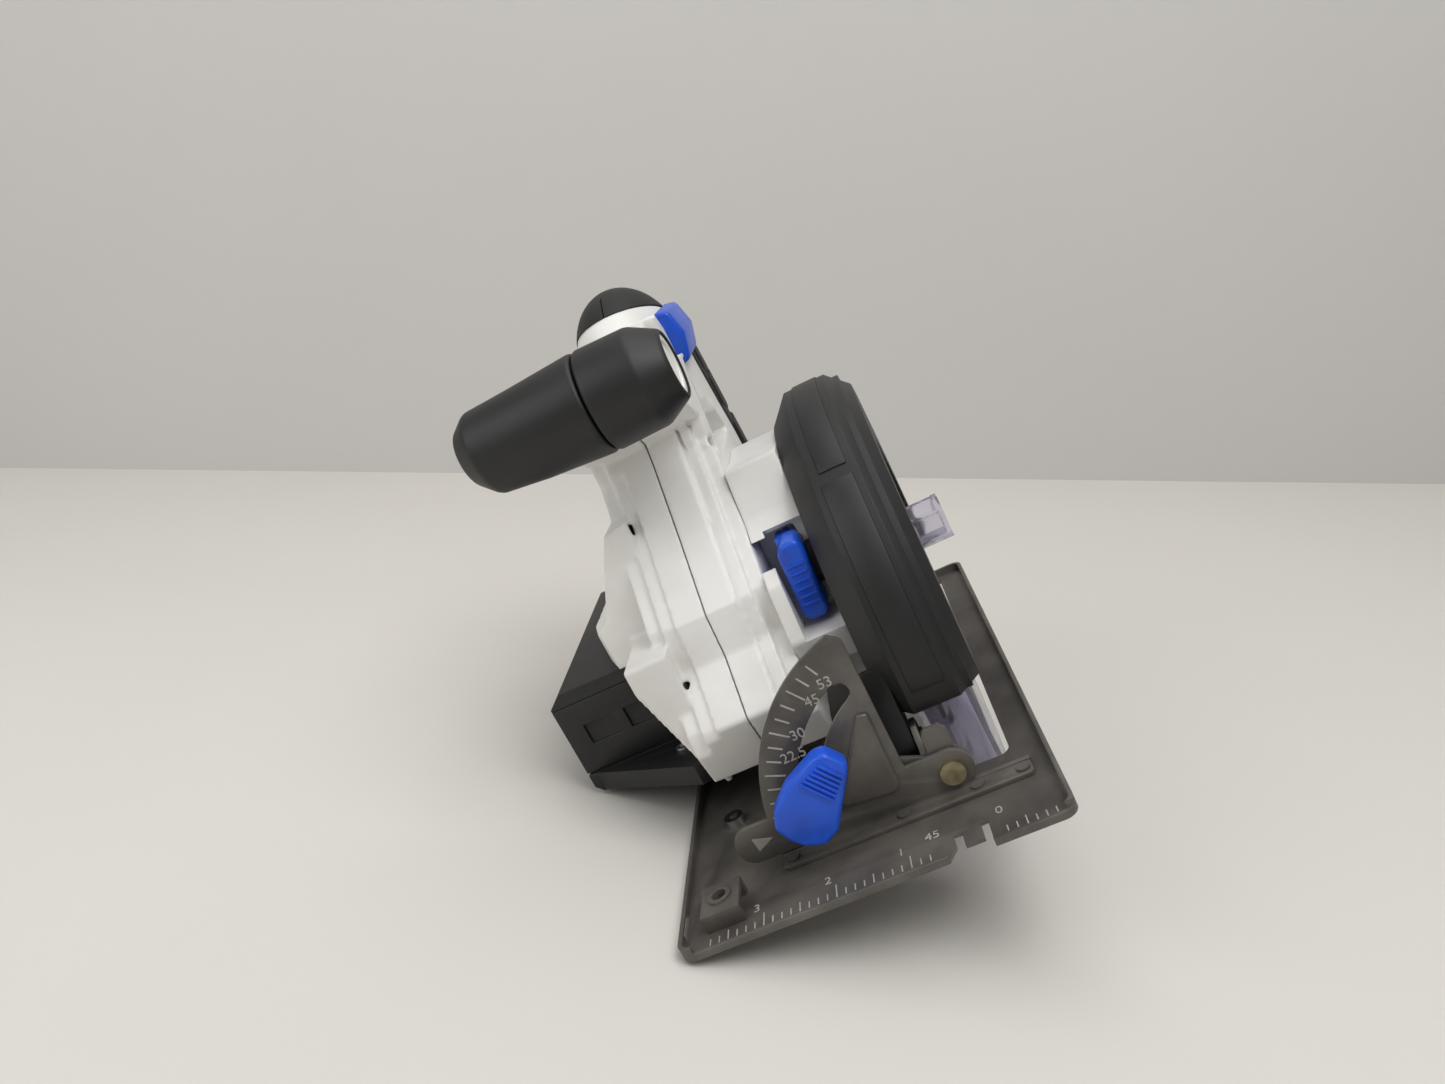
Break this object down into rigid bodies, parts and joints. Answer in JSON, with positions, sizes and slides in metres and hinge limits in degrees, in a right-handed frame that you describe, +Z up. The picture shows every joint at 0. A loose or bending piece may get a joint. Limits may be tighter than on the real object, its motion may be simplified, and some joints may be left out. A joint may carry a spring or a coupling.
{
  "type": "circular saw",
  "caption": "Cordless circular saw with a steel base, bevel quadrant, blade under a black upper guard and clear lower guard, white housing, two handles and slide-on battery.",
  "frame": {"origin": "in the blade plane, on the sole, at the front edge of the base", "axes": "+X to the blade side, square to the blade; +Y towards the back; +Z up, away from the work"},
  "size_m": [0.1745, 0.2392, 0.241],
  "materials": {
    "pressed_steel_dark": "dark phosphate paint, worn",
    "zinc_steel": "yellow zinc plate",
    "bright_steel": "bright",
    "dark_steel": "oiled",
    "black_plastic": "moulded, fine texture",
    "white_plastic": "moulded, smooth",
    "blue_plastic": "moulded",
    "clear_plastic": "clear moulded",
    "black_rubber": "overmoulded",
    "copper_wound_core": "laminated core with copper winding",
    "brass": "bright",
    "magnet": "ferrite",
    "carbon": "pressed carbon",
    "circuit_board": "solder mask",
    "cell": "sleeved steel can"
  },
  "bodies": {
    "base": {"base_plate": "pressed_steel_dark", "guide_screw_seat": "pressed_steel_dark", "bevel_quadrant": "pressed_steel_dark", "quadrant_rivets": "pressed_steel_dark", "base_stop_screw": "bright_steel", "rear_guide_plate": "pressed_steel_dark"},
    "tilt_frame": {"front_tilt_bracket": "pressed_steel_dark", "front_pivot_rivet": "zinc_steel", "rear_tilt_bracket": "pressed_steel_dark", "rear_guide_stud": "zinc_steel", "bevel_bolt": "bright_steel"},
    "bevel_clamp": {"bevel_lever": "blue_plastic"},
    "saw_head": {"depth_pivot_pin": "bright_steel", "upper_guard": "black_plastic", "guard_bumper": "black_rubber", "gear_cover": "white_plastic", "guard_screws": "bright_steel", "depth_bolt": "bright_steel", "guard_spring": "bright_steel", "motor_can": "dark_steel", "motor_magnets": "magnet", "end_bell": "black_plastic", "motor_brushes": "carbon", "ball_bearings": "bright_steel", "housing_left": "white_plastic", "housing_right": "white_plastic", "housing_screws": "dark_steel", "front_handle_left": "black_plastic", "front_handle_right": "black_plastic", "handle_end_plug": "white_plastic", "grip_overmould": "black_rubber", "trigger_spring": "bright_steel", "switch_body": "black_plastic", "spindle_lock_collar": "black_plastic", "terminal_block": "black_plastic", "control_board": "circuit_board", "pack_stop": "black_plastic"},
    "depth_clamp": {"depth_lever": "blue_plastic"},
    "drive_spindle": {"spindle": "bright_steel", "spindle_gear": "dark_steel", "inner_flange": "bright_steel", "blade": "bright_steel", "outer_flange": "bright_steel", "blade_bolt": "dark_steel"},
    "idler": {"idler_gear": "dark_steel"},
    "rotor": {"armature": "copper_wound_core", "commutator": "brass", "motor_fan": "black_plastic"},
    "lower_guard_set": {"lower_guard": "clear_plastic"},
    "trigger_set": {"trigger": "blue_plastic"},
    "lock_off_set": {"lock_off_button": "blue_plastic"},
    "spindle_lock_set": {"spindle_lock_button": "blue_plastic"},
    "battery": {"battery_case": "black_plastic", "battery_lid": "black_plastic", "battery_cells": "cell", "battery_terminals": "brass"},
    "battery_release": {"battery_latch": "black_plastic"}
  },
  "joints": [
    {"name": "bevel_tilt", "type": "hinge", "parent": "base", "child": "tilt_frame", "pos_m": [-0.0037, 0.1, 0.0095], "axis": [0, 1, 0], "range_deg": [0, 53]},
    {"name": "bevel_lever_turn", "type": "hinge", "parent": "tilt_frame", "child": "bevel_clamp", "pos_m": [-0.05024, 0.028, 0.01604], "axis": [0, 1, 0], "range_deg": [-45, 20]},
    {"name": "depth_swing", "type": "hinge", "parent": "tilt_frame", "child": "saw_head", "pos_m": [-0.017, 0.05, 0.016], "axis": [1, 0, 0], "range_deg": [0, 27]},
    {"name": "depth_lever_turn", "type": "hinge", "parent": "saw_head", "child": "depth_clamp", "pos_m": [-0.028, 0.20385, 0.02272], "axis": [1, 0, 0], "range_deg": [-25, 50]},
    {"name": "spindle_turn", "type": "hinge", "parent": "saw_head", "child": "drive_spindle", "pos_m": [0, 0.134, 0.039], "axis": [1, 0, 0], "continuous": true},
    {"name": "idler_turn", "type": "hinge", "parent": "saw_head", "child": "idler", "pos_m": [-0.028, 0.14025, 0.06655], "axis": [1, 0, 0], "continuous": true},
    {"name": "motor_turn", "type": "hinge", "parent": "saw_head", "child": "rotor", "pos_m": [-0.06, 0.1385, 0.0897], "axis": [1, 0, 0], "continuous": true},
    {"name": "lower_guard_retract", "type": "hinge", "parent": "saw_head", "child": "lower_guard_set", "pos_m": [0, 0.134, 0.039], "axis": [1, 0, 0], "range_deg": [0, 100], "stiffness_Nm_per_rad": 0.08, "springref_deg": -68.75},
    {"name": "trigger_pull", "type": "slide", "parent": "saw_head", "child": "trigger_set", "axis": [0, 1, 0], "range_m": [0, 0.005], "stiffness_N_per_m": 400, "springref_m": -0.004, "deforming": ["trigger_spring"]},
    {"name": "lock_off_push", "type": "slide", "parent": "saw_head", "child": "lock_off_set", "axis": [1, 0, 0], "range_m": [-0.003, 0.003], "stiffness_N_per_m": 400},
    {"name": "spindle_lock_push", "type": "slide", "parent": "saw_head", "child": "spindle_lock_set", "axis": [1, 0, 0], "range_m": [0, 0.0025], "stiffness_N_per_m": 400, "springref_m": -0.002},
    {"name": "battery_slide", "type": "slide", "parent": "saw_head", "child": "battery", "axis": [0, 1, 0], "range_m": [0, 0.115]},
    {"name": "battery_latch_press", "type": "slide", "parent": "battery", "child": "battery_release", "axis": [0, 0, 1], "range_m": [-0.003, 0], "stiffness_N_per_m": 400, "springref_m": 0.002}
  ],
  "couplings": [
    {"joint": "idler_turn", "follows": "spindle_turn", "ratio": -2},
    {"joint": "motor_turn", "follows": "spindle_turn", "ratio": 5}
  ]
}
